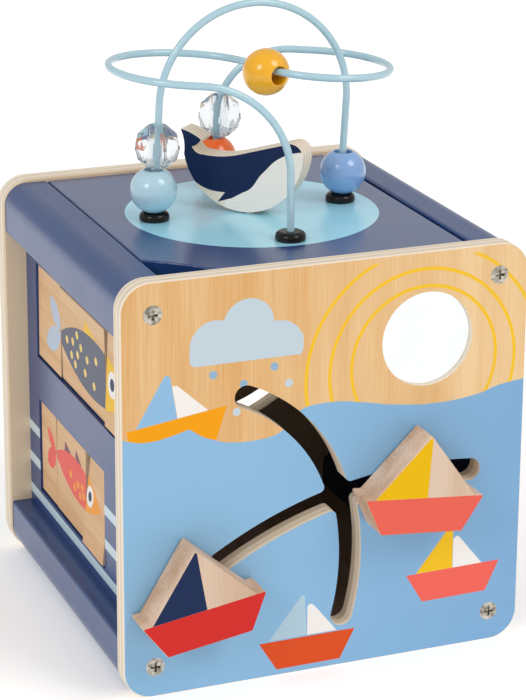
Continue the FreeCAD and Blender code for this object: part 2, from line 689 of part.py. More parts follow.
def half_loop(sign, foot, radius, bend_radius):
    """Half of the looped wire, from a foot to where the loops meet. sign is 1 at the rear and -1 at the front,
    where the same way of going round is turned by half a turn."""
    cx, cy = radius * math.cos(LOOP_TURN), radius * math.sin(LOOP_TURN)
    knee_x, knee_y = sign * (foot[0] - CROSS_X), sign * foot[1]
    reach = math.hypot(knee_x - cx, knee_y - cy)
    towards = math.atan2(knee_y - cy, knee_x - cx)
    touch_angle = towards - math.acos(radius / reach)
    middle_angle = math.pi + LOOP_TURN

    def ring(angle):
        x, y = cx + radius * math.cos(angle), cy + radius * math.sin(angle)
        return loop_point(CROSS_X + sign * x, sign * y)

    knee = loop_point(*foot)
    start = V(knee.x, knee.y, TOP_Z - LID_T - WIRE_TAIL)
    touch = ring(touch_angle)
    down = V(0, 0, -1)
    level = (touch - knee).normalize()
    corner = math.acos(down.dot(level))
    setback = bend_radius / math.tan(corner / 2)
    bend_start, bend_end = knee + down * setback, knee + level * setback
    bisector = (down + level).normalize()
    bend_middle = knee + bisector * (bend_radius / math.sin(corner / 2) - bend_radius)
    around = ring((touch_angle + middle_angle - 2 * math.pi) / 2)
    edges = [Part.LineSegment(start, bend_start).toShape(),
             Part.Arc(bend_start, bend_middle, bend_end).toShape(),
             Part.LineSegment(bend_end, touch).toShape(),
             Part.Arc(touch, around, ring(middle_angle)).toShape()]
    return edges, start


def loop_wire():
    rear, start = half_loop(1, REAR_FOOT, REAR_LOOP_R, REAR_BEND_R)
    front, _ = half_loop(-1, FRONT_FOOT, FRONT_LOOP_R, FRONT_BEND_R)
    return swept(rear + list(reversed(front)), start, V(0, 0, 1))


# ---- beads and whale ----------------------------------------------------------------------------------------
def round_bead():
    """A round bead about the origin with its hole along Z and eased rims."""
    ball = Part.makeSphere(BEAD_R)
    ball = ball.cut(cylinder(BEAD_HOLE_R, V(0, 0, -BEAD_R), V(0, 0, 1), 2 * BEAD_R))
    rims = [e for e in ball.Edges if abs(abs(e.CenterOfMass.z) - BEAD_HALF) < 0.1 and e.BoundBox.ZLength < 0.1]
    return ball.makeFillet(BEAD_LIP_R, rims)


def faceted_bead():
    """A cut bead: staggered rings of flat facets, with the same hole."""
    lowest = math.asin(BEAD_HALF / BEAD_R)
    latitudes = [-lowest, -lowest * 0.52, 0.0, lowest * 0.52, lowest]
    rings = []
    for k, latitude in enumerate(latitudes):
        offset = (k % 2) * math.pi / FACETS
        rings.append([V(BEAD_R * math.cos(latitude) * math.cos(2 * math.pi * i / FACETS + offset),
                        BEAD_R * math.cos(latitude) * math.sin(2 * math.pi * i / FACETS + offset),
                        BEAD_R * math.sin(latitude)) for i in range(FACETS)])
    faces = [Part.Face(Part.makePolygon(ring + ring[:1])) for ring in (rings[0], rings[-1])]
    for k in range(len(rings) - 1):
        lower, upper = rings[k], rings[k + 1]
        shift = k % 2
        for i in range(FACETS):
            following = (i + 1) % FACETS
            up = (i + shift) % FACETS
            up_before = (i + shift - 1) % FACETS
            faces.append(Part.Face(Part.makePolygon([lower[i], lower[following], upper[up], lower[i]])))
            faces.append(Part.Face(Part.makePolygon([lower[i], upper[up], upper[up_before], lower[i]])))
    solid = Part.Solid(Part.Shell(faces))
    return solid.cut(cylinder(BEAD_HOLE_R - BEAD_LIP_R, V(0, 0, -BEAD_R), V(0, 0, 1), 2 * BEAD_R))


def stacked_bead(bead, foot, place, shift):
    """Stands a bead on a wire's collar, or on the bead below it, hanging to one side of its wire by the shift."""
    solid = bead.copy()
    first = TOP_Z + GROMMET_H + BEAD_HALF + JOIN_GAP
    solid.translate(V(foot.x + shift, foot.y, first + place * (2 * BEAD_HALF + BEAD_STACK_GAP)))
    return solid


def yellow_bead():
    """Hangs near where the wire crosses from one loop to the other, its hole along the wire."""
    solid = round_bead()
    solid.rotate(V(0, 0, 0), V(1, 0, 0), 90)
    solid.rotate(V(0, 0, 0), V(0, 0, 1), math.degrees(LOOP_TURN))
    solid.rotate(V(0, 0, 0), V(0, 1, 0), math.degrees(LOOP_TILT))
    solid.translate(loop_point(CROSS_X, 0))
    centre = loop_point(CROSS_X + REAR_LOOP_R * math.cos(LOOP_TURN), REAR_LOOP_R * math.sin(LOOP_TURN))
    solid.rotate(centre, V(math.sin(LOOP_TILT), 0, math.cos(LOOP_TILT)), YELLOW_ALONG)
    solid.translate(V(0, 0, -YELLOW_DROP))
    return solid


def whale():
    """A flat whale: a half-round belly, a nearly flat back and a raised tail, drilled for its pivot screw."""
    def at(x, z):
        return V(x, 0, z)

    def belly(degrees):
        return on_circle(BELLY_X, BELLY_R, BELLY_R, degrees)

    jaw, waist = belly(0.0), belly(190.0)
    tail_tip, fluke, notch = at(-35.1, 37.9), at(-24.3, 33.6), at(-29.1, 29.8)
    tail_root, back, crown = at(-23.5, 26.4), at(-2.0, 29.0), at(22.2, 36.3)
    edges = [
        Part.Arc(jaw, belly(-90.0), waist).toShape(),
        Part.Arc(waist, at(-33.3, 32.0), tail_tip).toShape(),
        Part.Arc(tail_tip, at(-29.8, 36.5), fluke).toShape(),
        Part.Arc(fluke, at(-26.2, 31.3), notch).toShape(),
        Part.Arc(notch, at(-27.2, 27.4), tail_root).toShape(),
        Part.Arc(tail_root, at(-13.8, 26.4), back).toShape(),
        Part.Arc(back, at(10.5, 32.8), crown).toShape(),
        Part.Arc(crown, at(27.0, 34.6), jaw).toShape(),
    ]
    solid = prism(Part.Wire(edges), -WHALE_T / 2, WHALE_T / 2)
    solid.translate(V(0, 0, TOP_Z + WHALE_LIFT))
    solid = solid.cut(cylinder(WHALE_SCREW_R, V(0, 0, TOP_Z), V(0, 0, 1), WHALE_LIFT + WHALE_SCREW_DEPTH))
    solid.rotate(V(0, 0, 0), V(0, 0, 1), -WHALE_TURN)
    return solid


def whale_screw():
    under = TOP_Z - LID_T - RUNNING
    head = cylinder(TIE_HEAD_R, V(0, 0, under - TIE_HEAD_H), V(0, 0, 1), TIE_HEAD_H)
    shank = cylinder(WHALE_SCREW_R, V(0, 0, under), V(0, 0, 1), TOP_Z + WHALE_LIFT + WHALE_SCREW_DEPTH - under)
    return head.fuse(shank).removeSplitter()


def whale_washer():
    ring = cylinder(WASHER_R, V(0, 0, TOP_Z), V(0, 0, 1), WHALE_LIFT - WASHER_CLEARANCE)
    return ring.cut(cylinder(WHALE_SCREW_R + RUNNING, V(0, 0, TOP_Z), V(0, 0, 1), WHALE_LIFT))


def main():
    os.makedirs("parts", exist_ok=True)
    feet = wire_feet()
    pieces = {
        "front_panel": front_panel(),
        "rear_panel": rear_panel(),
        "front_screws": front_screws(),
        "rear_screws": rear_screws(),
        "rail_top_left": rail(-1, True),
        "rail_top_right": rail(1, True),
        "rail_bottom_left": rail(-1, False),
        "rail_bottom_right": rail(1, False),
        "mirror_disc": mirror_disc(),
        "left_board": left_board(),
        "right_board": right_board(),
        "base_board": base_board(),
        "lid_batten_left": lid_batten(-1),
        "lid_batten_right": lid_batten(1),
        "boat_one": placed_front(block(boat_outline()), BOAT_ONE_ANGLE, BOAT_ONE_LEAN),
        "boat_one_screw": placed_front(tie_screw(), BOAT_ONE_ANGLE, 0),
        "boat_one_peg": placed_front(peg(), BOAT_ONE_ANGLE, 0),
        "boat_one_disc": placed_front(disc(), BOAT_ONE_ANGLE, 0),
        "boat_two": placed_front(block(boat_outline()), BOAT_TWO_ANGLE, BOAT_TWO_LEAN),
        "boat_two_screw": placed_front(tie_screw(), BOAT_TWO_ANGLE, 0),
        "boat_two_peg": placed_front(peg(), BOAT_TWO_ANGLE, 0),
        "boat_two_disc": placed_front(disc(), BOAT_TWO_ANGLE, 0),
        "rear_fish": placed_rear(fish_block()),
        "rear_fish_screw": placed_rear(tie_screw()),
        "rear_fish_peg": placed_rear(peg()),
        "rear_fish_disc": placed_rear(disc()),
        "gear_pins": gear_pins(),
        "lid": lid(),
        "wire_grommets": grommets(),
        "wire_washers": wire_washers(),
        "wire_nuts": wire_nuts(),
        "arch_wire": arch_wire(),
        "loop_wire": loop_wire(),
        "bead_yellow": yellow_bead(),
        "whale": whale(),
        "whale_screw": whale_screw(),
        "whale_washer": whale_washer(),
    }
    for name, (foot, place, shift) in STACKED_BEADS.items():
        bead = faceted_bead() if "clear" in name else round_bead()
        pieces[name] = stacked_bead(bead, feet[foot], place, shift)
    for row_name, row in ROWS.items():
        pieces[row_name + "_tile_rod"] = tile_rod(row)
        for index, part_name in enumerate(TILE_NAMES):
            pieces[row_name + "_tile_" + part_name] = tile(row, index)
    for name in GEAR_TEETH:
        pieces[name] = gear(name)
    for name, shape in pieces.items():
        if not shape.isValid():
            print("not valid:", name)
        shape.exportStep("parts/" + name + ".step")
    print(len(pieces), "pieces")


main()
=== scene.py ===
"""Looks of the wooden activity cube: lacquered plywood with printed pictures, navy paint, glossy beads.

The CAD nodes keep their shapes. Each gets a material here, built from the node's own coordinates in
millimetres: grain, ply layers and the printed pictures all follow from where a point lies on its piece.
"""
import json
import math

import bpy
from mathutils import Matrix, Vector


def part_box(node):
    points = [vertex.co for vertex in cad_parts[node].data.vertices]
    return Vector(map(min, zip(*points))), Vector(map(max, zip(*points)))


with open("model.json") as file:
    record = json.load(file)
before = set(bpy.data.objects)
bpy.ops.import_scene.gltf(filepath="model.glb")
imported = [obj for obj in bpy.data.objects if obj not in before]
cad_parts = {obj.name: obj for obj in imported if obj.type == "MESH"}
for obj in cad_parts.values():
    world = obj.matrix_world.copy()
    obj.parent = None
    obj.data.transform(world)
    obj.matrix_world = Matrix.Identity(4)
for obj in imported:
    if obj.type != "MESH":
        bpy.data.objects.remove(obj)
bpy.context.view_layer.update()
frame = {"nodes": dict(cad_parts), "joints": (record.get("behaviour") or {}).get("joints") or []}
nodes = frame["nodes"]
joints = {joint["name"]: joint for joint in frame["joints"]}

MM = 0.001
EDGE = 0.12              # softness of a printed edge, in millimetres
STEP = 12.0              # how steeply a mask rises where a face turns away
RELIEF = 0.6             # strength of the fine relief

# ---- colours -------------------------------------------------------------------------------------
WOOD_LIGHT = "#ebcb9c"
WOOD_DARK = "#d9a76c"
PLY_LIGHT = "#f3e7d6"
PLY_DARK = "#cbb695"
BARE_LIGHT = "#ecd0ba"
BARE_DARK = "#cda583"
TILE_LIGHT = "#e2bf97"
TILE_DARK = "#cfa070"
# painted shade: the dark brown laid on the tiles' cut edges
TILE_EDGE_SHADE = "#8a5c3a"
INNER_WOOD = "#efdcc0"
BLOCK_FACE = "#c0ad98"
SEA = "#89b8dc"
# a darker sea blue, painted shade on the sea's right side
SEA_SHADED = "#79a7d1"
CLOUD = "#bfcfda"
SUN = "#f0bf2c"
SKY_BLUE = "#8cb9de"
DROP_BLUE = "#8cb0cb"
SAND = "#f0d79a"
WHITE = "#efebe7"
HULL_YELLOW = "#f09d00"
HULL_CORAL = "#ee6253"
HULL_ORANGE = "#da4b02"
SAIL_YELLOW = "#efbe04"
SAIL_PALE = "#afcad9"
NAVY = "#1b2b54"
NAVY_PRINT = "#1b2c51"
NAVY_DEEP = "#12316a"
NAVY_BRIGHT = "#234b86"
DISC_BLUE = "#a9e6fb"
WIRE_BLUE = "#b2d5e2"
STRIPE = "#c3d9e2"
BEAD_COLOURS = {
    "bead_light_blue": "#bcdfee",
    "bead_blue": "#8db3e6",
    "bead_orange": "#ff6a00",
    "bead_yellow": "#ffb810",
}
FISH_SLATE = "#5b6275"
FISH_CREAM = "#efd079"
FISH_CORAL = "#e8605a"
FISH_MAUVE = "#7b5366"
FISH_ORANGE = "#f2a03a"
FISH_PALE = "#b5c3d6"
BLOCK_CORAL = "#e46252"
BLOCK_RED = "#cd2c27"
BLOCK_YELLOW = "#e6b502"
BELLY = "#fffaf3"
BELLY_THREAD = "#f6d5b4"
BELLY_WARM = "#f3d9ba"
RUBBER_DARK = "#080706"
RUBBER_PALE = "#15110f"
STEEL_PALE = "#d3cdc1"
STEEL_DARK = "#7d766a"
SILVER_PALE = "#f8fafa"
SILVER_DARK = "#e9eef0"
ACRYLIC_PALE = "#fbfdff"
ACRYLIC_DARK = "#eef5f8"
PAPER = "#fbfbfb"
PAPER_GLOW = "#fffdfb"
WARM_LIGHT = "#fffaf3"


def srgb(code):
    """A linear RGBA colour from a web colour."""
    values = [int(code[i:i + 2], 16) / 255 for i in (1, 3, 5)]
    linear = [v / 12.92 if v <= 0.04045 else ((v + 0.055) / 1.055) ** 2.4 for v in values]
    return (*linear, 1.0)


# ---- a small language for shader arithmetic ------------------------------------------------------
class Num:
    """A number that varies over a surface. Plain arithmetic on it adds math nodes to its material."""

    def __init__(self, paint, socket):
        self.paint = paint
        self.socket = socket

    def math(self, operation, *others, clamp=False):
        return self.paint.math(operation, self, *others, clamp=clamp)

    def __add__(self, other):
        return self.math("ADD", other)

    def __sub__(self, other):
        return self.math("SUBTRACT", other)

    def __mul__(self, other):
        return self.math("MULTIPLY", other)

    def __truediv__(self, other):
        return self.math("DIVIDE", other)

    def __neg__(self):
        return self.math("MULTIPLY", -1.0)

    def size(self):
        return self.math("ABSOLUTE")

    def clamped(self):
        return self.math("ADD", 0.0, clamp=True)

    def opposite(self):
        """1 less this."""
        return self * -1.0 + 1.0

    def both(self, *others):
        """Where this distance and all the others are inside."""
        result = self
        for other in others:
            result = result.math("MAXIMUM", other)
        return result

    def either(self, *others):
        """Where this distance or any of the others is inside."""
        result = self
        for other in others:
            result = result.math("MINIMUM", other)
        return result

    def inside(self, soft=EDGE):
        """1 where this distance is below zero, 0 where it is above, with a narrow blend between."""
        return self.math("MULTIPLY_ADD", -1.0 / soft, 0.5, clamp=True)


class Paint:
    """One material, built up in layers on a Principled shader."""

    def __init__(self, name, coat=0.0, coat_roughness=0.15, metallic=0.0, specular=0.5):
        self.material = bpy.data.materials.new(name)
        self.material.use_nodes = True
        self.tree = self.material.node_tree
        self.tree.nodes.clear()
        output = self.add("ShaderNodeOutputMaterial")
        self.shader = self.add("ShaderNodeBsdfPrincipled")
        self.tree.links.new(self.shader.outputs["BSDF"], output.inputs["Surface"])
        self.put("Metallic", metallic)
        self.put("Specular IOR Level", specular)
        self.put("Coat Weight", coat)
        self.put("Coat Roughness", coat_roughness)
        coordinates = self.add("ShaderNodeTexCoord")
        self.position = self.vector("SCALE", coordinates.outputs["Object"], scale=1 / MM)
        self.x, self.y, self.z = self.split(self.position)
        self.nx, self.ny, self.nz = self.split(coordinates.outputs["Normal"])
        self.colour = None
        self.height = None

    def add(self, kind):
        return self.tree.nodes.new(kind)

    def feed(self, socket, value):
        if isinstance(value, Num):
            value = value.socket
        if isinstance(value, bpy.types.NodeSocket):
            self.tree.links.new(value, socket)
        else:
            socket.default_value = value

    def put(self, name, value):
        self.feed(self.shader.inputs[name], value)

    def math(self, operation, *values, clamp=False):
        node = self.add("ShaderNodeMath")
        node.operation = operation
        node.use_clamp = clamp
        for socket, value in zip(node.inputs, values):
            self.feed(socket, value)
        return Num(self, node.outputs[0])

    def vector(self, operation, *values, scale=None):
        node = self.add("ShaderNodeVectorMath")
        node.operation = operation
        for socket, value in zip(node.inputs, values):
            self.feed(socket, value)
        if scale is not None:
            self.feed(node.inputs["Scale"], scale)
        return node.outputs["Value"] if operation in ("DOT_PRODUCT", "DISTANCE") else node.outputs[0]

    def split(self, socket):
        node = self.add("ShaderNodeSeparateXYZ")
        self.feed(node.inputs[0], socket)
        return [Num(self, out) for out in node.outputs]

    def join(self, *values):
        node = self.add("ShaderNodeCombineXYZ")
        for socket, value in zip(node.inputs, values):
            self.feed(socket, value)
        return node.outputs[0]

    def mix(self, first, second, amount):
        node = self.add("ShaderNodeMix")
        node.data_type = "RGBA"
        self.feed(node.inputs["Factor"], amount)
        self.feed(node.inputs["A"], first)
        self.feed(node.inputs["B"], second)
        return node.outputs["Result"]

    def layer(self, colour, amount):
        """Lays a colour over what is there, where the amount is 1."""
        top = srgb(colour) if isinstance(colour, str) else colour
        self.colour = self.mix(self.colour, top, amount)

    def noise(self, stretch, detail=3.0, rough=0.55, shift=0.0):
        """Noise from 0 to 1 whose features are about stretch millimetres long in X, Y and Z.

        The shift keeps one noise from repeating another."""
        rates = [1 / length for length in stretch]
        scaled = self.vector("MULTIPLY_ADD", self.position, rates, (shift, shift, shift))
        node = self.add("ShaderNodeTexNoise")
        self.feed(node.inputs["Vector"], scaled)
        node.inputs["Scale"].default_value = 1.0
        node.inputs["Detail"].default_value = detail
        node.inputs["Roughness"].default_value = rough
        return Num(self, node.outputs["Fac"])

    def curve(self, value, span, points, reach):
        """A smooth function drawn through points. A point with a third entry is a sharp corner.

        span is the range of the input, reach that of the result."""
        node = self.add("ShaderNodeFloatCurve")
        low, high = span
        bottom, top = reach
        shape = node.mapping.curves[0]
        while len(shape.points) < len(points):
            shape.points.new(0.5, 0.5)
        for point, spot in zip(shape.points, points):
            point.location = (spot[0] - low) / (high - low), (spot[1] - bottom) / (top - bottom)
            point.handle_type = "VECTOR" if len(spot) > 2 else "AUTO"
        node.mapping.update()
        self.feed(node.inputs["Value"], (value - low) / (high - low))
        return Num(self, node.outputs[0]) * (top - bottom) + bottom

    def raise_by(self, height):
        """Adds to the surface's fine relief, in millimetres."""
        self.height = height if self.height is None else self.height + height

    def finish(self):
        self.put("Base Color", self.colour)
        if self.height is not None:
            bump = self.add("ShaderNodeBump")
            bump.inputs["Strength"].default_value = RELIEF
            bump.inputs["Distance"].default_value = MM
            self.feed(bump.inputs["Height"], self.height)
            self.put("Normal", bump.outputs[0])
        return self.material


class Sheet:
    """Flat figures in two coordinates of a surface.

    Each is a distance in millimetres, below zero inside the figure."""

    def __init__(self, paint, u, v, origin=(0.0, 0.0), turn=0.0):
        """The origin can be moved in u and v, and the axes turned anticlockwise by degrees."""
        if origin != (0.0, 0.0):
            u, v = u - origin[0], v - origin[1]
        if turn:
            c = math.cos(math.radians(turn))
            s = math.sin(math.radians(turn))
            u, v = u * c + v * s, v * c - u * s
        self.paint, self.u, self.v = paint, u, v
        self.point = paint.join(u, v, 0.0)

    def disc(self, u, v, radius):
        return Num(self.paint, self.paint.vector("DISTANCE", self.point, (u, v, 0.0))) - radius

    def ring(self, u, v, radius, width):
        return self.disc(u, v, radius).size() - width / 2

    def side(self, start, end):
        """Inside is on the left of the way from start to end."""
        du, dv = end[0] - start[0], end[1] - start[1]
        length = math.hypot(du, dv)
        across = (dv / length, -du / length, 0.0)
        offset = start[0] * across[0] + start[1] * across[1]
        return Num(self.paint, self.paint.vector("DOT_PRODUCT", self.point, across)) - offset

    def polygon(self, *corners):
        """A convex figure, its corners in anticlockwise order."""
        sides = [self.side(a, b) for a, b in zip(corners, corners[1:] + corners[:1])]
        return sides[0].both(*sides[1:])

    def block(self, u, v, half_u, half_v, radius):
        """An upright rectangle with round corners."""
        over_u = ((self.u - u).size() - (half_u - radius)).math("MAXIMUM", 0.0)
        over_v = ((self.v - v).size() - (half_v - radius)).math("MAXIMUM", 0.0)
        return (over_u * over_u + over_v * over_v).math("SQRT") - radius

    def lens(self, u, v, half_length, half_height):
        """A pointed oval that lies along u."""
        radius = (half_length ** 2 + half_height ** 2) / (2 * half_height)
        offset = radius - half_height
        return self.disc(u, v - offset, radius).both(self.disc(u, v + offset, radius))


# ---- wood ----------------------------------------------------------------------------------------
BROAD_GRAIN = 2.2
FINE_GRAIN = 1.6
PORES = 0.16
PLY_WOBBLE = 0.35        # millimetres
CROSS_PLY = 0.45         # how much darker every other sheet is
GLUE_LINE = 0.4
EDGE_RELIEF = 0.12       # millimetres


def grain(paint, light, dark, along, contrast, light_drift=0.0):
    """Fine birch grain that runs along 'x', 'y' or 'z'. It can be painted paler towards +X, as painted
    light falling from the right.
    """
    long = {"x": (1, 0, 0), "y": (0, 1, 0), "z": (0, 0, 1)}[along]

    def stretched(length, across):
        return [length if on else across for on in long]

    broad = paint.noise(stretched(260.0, 16.0), detail=2.0)
    fine = paint.noise(stretched(45.0, 0.9), detail=4.0, rough=0.65, shift=7.0)
    flecks = paint.noise(stretched(7.0, 0.45), detail=1.0, shift=19.0)
    streaks = (broad - 0.5) * (BROAD_GRAIN * contrast) + (fine - 0.5) * (FINE_GRAIN * contrast) + 0.5
    # painted light: the grain is made paler towards +X
    streaks = streaks + paint.x * -light_drift
    tone = paint.mix(srgb(light), srgb(dark), streaks.clamped())
    pores = flecks.math("MULTIPLY_ADD", 9.0, -6.0, clamp=True) * (PORES * contrast)
    paint.colour = paint.mix(tone, srgb(dark), pores)
    paint.raise_by((fine - 0.5) * 0.05 + (flecks - 0.5) * 0.02)


def layered_edge(paint, depth, edge, plies, thickness):
    """The cut edge of plywood: thin sheets whose grain runs along the edge and across it by turns."""
    wobble = (paint.noise((24.0, 24.0, 24.0), detail=2.0, shift=3.0) - 0.5) * PLY_WOBBLE
    phase = (depth + wobble) * (plies / thickness)
    saw = phase.math("FRACT")
    turn = (phase * 0.5).math("FRACT").math("GREATER_THAN", 0.5)
    glue = (saw - 0.5).size().math("MULTIPLY_ADD", 14.0, -6.1, clamp=True)
    speckle = paint.noise((1.4, 1.4, 1.4), detail=4.0, rough=0.7, shift=31.0)
    end_grain = paint.mix(srgb(PLY_LIGHT), srgb(PLY_DARK), turn * CROSS_PLY + (speckle - 0.5) * 0.5)
    tone = paint.mix(end_grain, srgb(PLY_DARK), glue * GLUE_LINE)
    paint.layer(tone, edge)
    paint.raise_by(turn * speckle * edge * EDGE_RELIEF)


def facing(number, level=0.72):
    """1 where a normal's component is over a level, and 0 under it, with a soft step."""
    return number.math("MULTIPLY_ADD", STEP, 0.5 - STEP * level, clamp=True)


def turned_away(number, level):
    """1 where a normal's component is well under a level either way, and 0 over it."""
    return number.size().opposite().math("MULTIPLY_ADD", STEP, STEP * (level - 1.0), clamp=True)


def uneven_gloss(paint, roughness, spread, size, shift):
    """Roughness that wanders about a value in clouds of a size in millimetres."""
    cloud = paint.noise((size, size, size), detail=3.0, shift=shift)
    paint.put("Roughness", (cloud - 0.5) * spread + roughness)


# ---- pictures on the panels ----------------------------------------------------------------------
INK_GLOSS = 0.12         # the printed faces are nearly matt
INK_COVER = 0.98         # a little of the grain shows through
PANEL_T = 10.5
PANEL_PLIES = 5
PANEL_EDGE = 0.75        # a normal with less than this across the panel is on its edge
PANEL_GRAIN = 0.8
INNER_PALE = 0.75        # how far the unvarnished inner face is paler
VENEER_LIGHT_DRIFT = 0.0035    # painted light: how much paler the front veneer grows, per millimetre to the right
FRONT_FACE_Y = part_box("front_panel")[0].y / MM
REAR_FACE_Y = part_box("rear_panel")[1].y / MM
MIRROR_LOW, MIRROR_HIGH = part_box("mirror_disc")
MIRROR_X = (MIRROR_LOW.x + MIRROR_HIGH.x) / 2 / MM
MIRROR_Z = (MIRROR_LOW.z + MIRROR_HIGH.z) / 2 / MM
SUN_LINE = 1.7
# Each ring: its centre's x and z from the mirror's, and its radius.
SUN_RINGS = ((-1.4, -10.9, 36.6), (-1.9, -12.9, 46.9), (-1.3, -14.7, 59.2))
PRINT_TOP = 197.0        # the picture stops short of the panel's top edge
CLOUD_BASE = 158.4
REAR_CLOUD_BASE = 155.0
ACROSS = (-100.0, 100.0)      # the panel from side to side
SEA_LINE = (
    (-100.0, 128.4), (-96.0, 126.9), (-88.0, 125.6), (-77.0, 127.0), (-68.2, 129.2, "sharp"),
    (-57.0, 122.8), (-45.0, 119.9), (-33.0, 119.8), (-21.5, 123.4), (-10.5, 132.6), (2.0, 133.2),
    (16.0, 131.2), (34.0, 127.7), (55.0, 125.9), (74.0, 127.4), (87.0, 130.8), (100.0, 132.4),
)
SEA_SHADE_RATE = 0.006         # painted shade: the sea darkens by this share per millimetre to the right
# the share of painted shade on the sea at the panel's middle
SEA_SHADE_AT_MIDDLE = 0.25
DROPS = (
    (-56.6, 153.6, DROP_BLUE), (-42.0, 147.6, DROP_BLUE), (-27.1, 154.0, DROP_BLUE),
    (-20.0, 145.2, CLOUD), (-45.3, 134.6, CLOUD),
)
DROP_R = 1.95
REAR_SUN = (52.0, 160.0)
REAR_SUN_R = 8.0
REAR_SUN_RINGS = (14.0, 22.0, 30.0)
FAR_WATER = (
    (-100.0, 118.0), (-75.0, 122.0), (-50.0, 117.0), (-20.0, 121.0), (10.0, 116.0), (40.0, 121.0),
    (70.0, 117.0), (100.0, 121.0),
)
NEAR_WATER = (
    (-100.0, 104.0), (-70.0, 99.0), (-35.0, 105.0), (0.0, 99.0), (35.0, 105.0), (70.0, 99.0),
    (100.0, 103.0),
)
SEA_BED = ((-100.0, 22.0), (-60.0, 17.0), (-20.0, 24.0), (20.0, 18.0), (60.0, 25.0), (100.0, 19.0))
BUBBLES = (
    (-76.0, 70.0, 2.6), (-71.0, 79.0, 1.9), (-78.0, 86.0, 1.4),
    (74.0, 66.0, 2.6), (79.0, 75.0, 1.9), (73.0, 83.0, 1.4),
)
BUBBLE_LINE = 0.9
WEEDS = (
    (-52.0, -8.0, HULL_CORAL), (-44.0, 6.0, HULL_ORANGE),
    (48.0, -6.0, HULL_YELLOW), (56.0, 8.0, HULL_CORAL),
)
WEED_Z = 30.0
WEED_HALF_LENGTH = 15.0
WEED_HALF_WIDTH = 3.4


def varnish(paint, face):
    """Slow changes in the gloss of a lacquered face."""
    cloud = paint.noise((30.0, 30.0, 30.0), detail=3.0, shift=11.0)
    fine = paint.noise((2.5, 2.5, 2.5), detail=2.0, shift=5.0)
    rough = (cloud - 0.5) * 0.12 + (fine - 0.5) * 0.08 + 0.42
    paint.put("Roughness", rough + face.opposite() * 0.25)


def printed(paint, colour, figure, face):
    """Prints a figure on a face."""
    paint.layer(colour, figure.inside() * face * INK_COVER)


def printed_boat(paint, face, hull, left_sail, right_sail, colours):
    """Two sails and a hull over them. The colours are in the order of the figures."""
    hull_colour, left_colour, right_colour = colours
    printed(paint, left_colour, left_sail, face)
    printed(paint, right_colour, right_sail, face)
    printed(paint, hull_colour, hull, face)


def front_panel():
    paint = Paint("front_print", specular=INK_GLOSS)
    face = facing(-paint.ny)
    # the front veneer is painted paler to the right, as painted light
    grain(paint, WOOD_LIGHT, WOOD_DARK, "z", contrast=PANEL_GRAIN, light_drift=VENEER_LIGHT_DRIFT)
    paint.layer(INNER_WOOD, facing(paint.ny) * INNER_PALE)
    sheet = Sheet(paint, paint.x, paint.z)
    for x, z, radius in SUN_RINGS:
        ring = sheet.ring(MIRROR_X + x, MIRROR_Z + z, radius, SUN_LINE)
        printed(paint, SUN, ring.both(sheet.v - PRINT_TOP), face)
    cloud = sheet.block(-40.4, 164.0, 27.4, 5.6, 3.0)
    cloud = cloud.either(sheet.disc(-55.4, 166.9, 12.4), sheet.disc(-39.6, 175.5, 12.2))
    cloud = cloud.either(sheet.disc(-25.2, 163.6, 12.2)).both(-(sheet.v - CLOUD_BASE))
    printed(paint, CLOUD, cloud, face)
    for x, z, colour in DROPS:
        printed(paint, colour, sheet.disc(x, z, DROP_R), face)
    sea = paint.z - paint.curve(paint.x, ACROSS, SEA_LINE, (110.0, 140.0))
    air = -sea
    printed_boat(
        paint, face,
        sheet.polygon((-97.8, 131.6), (-94.0, 116.0), (-55.1, 122.7), (-50.1, 138.3)).both(air),
        sheet.polygon((-93.4, 132.4), (-73.7, 135.1), (-77.0, 154.8), (-78.2, 156.2), (-79.8, 155.6)),
        sheet.polygon((-73.6, 135.2), (-59.0, 137.2), (-73.6, 150.6), (-76.1, 150.8)),
        (HULL_YELLOW, SKY_BLUE, WHITE))
    # painted shade: the printed sea darkens towards the right, where less light falls
    sea_shade = (paint.x * SEA_SHADE_RATE + SEA_SHADE_AT_MIDDLE).clamped()
    printed(paint, paint.mix(srgb(SEA), srgb(SEA_SHADED), sea_shade), sea, face)
    printed_boat(
        paint, face,
        sheet.polygon((-33.9, 17.6), (-25.0, 3.2), (7.1, 3.4), (14.6, 17.9)),
        sheet.polygon((-28.9, 18.2), (-9.9, 18.4), (-11.0, 38.6), (-12.6, 39.0)),
        sheet.polygon((-9.7, 18.4), (5.3, 18.4), (-6.6, 33.4), (-8.2, 34.2), (-9.6, 33.0)),
        (HULL_ORANGE, SAIL_PALE, WHITE))
    printed_boat(
        paint, face,
        sheet.polygon((40.9, 40.3), (49.5, 25.6), (82.7, 26.2), (89.7, 41.2)),
        sheet.polygon((45.9, 40.5), (65.0, 40.7), (65.0, 61.2), (62.4, 61.4)),
        sheet.polygon((65.2, 40.7), (80.5, 41.0), (68.2, 56.4), (66.8, 57.0), (65.2, 55.6)),
        (HULL_CORAL, SAIL_YELLOW, WHITE))
    edge = turned_away(paint.ny, PANEL_EDGE)
    layered_edge(paint, paint.y - FRONT_FACE_Y, edge, PANEL_PLIES, PANEL_T)
    varnish(paint, face)
    return paint.finish()


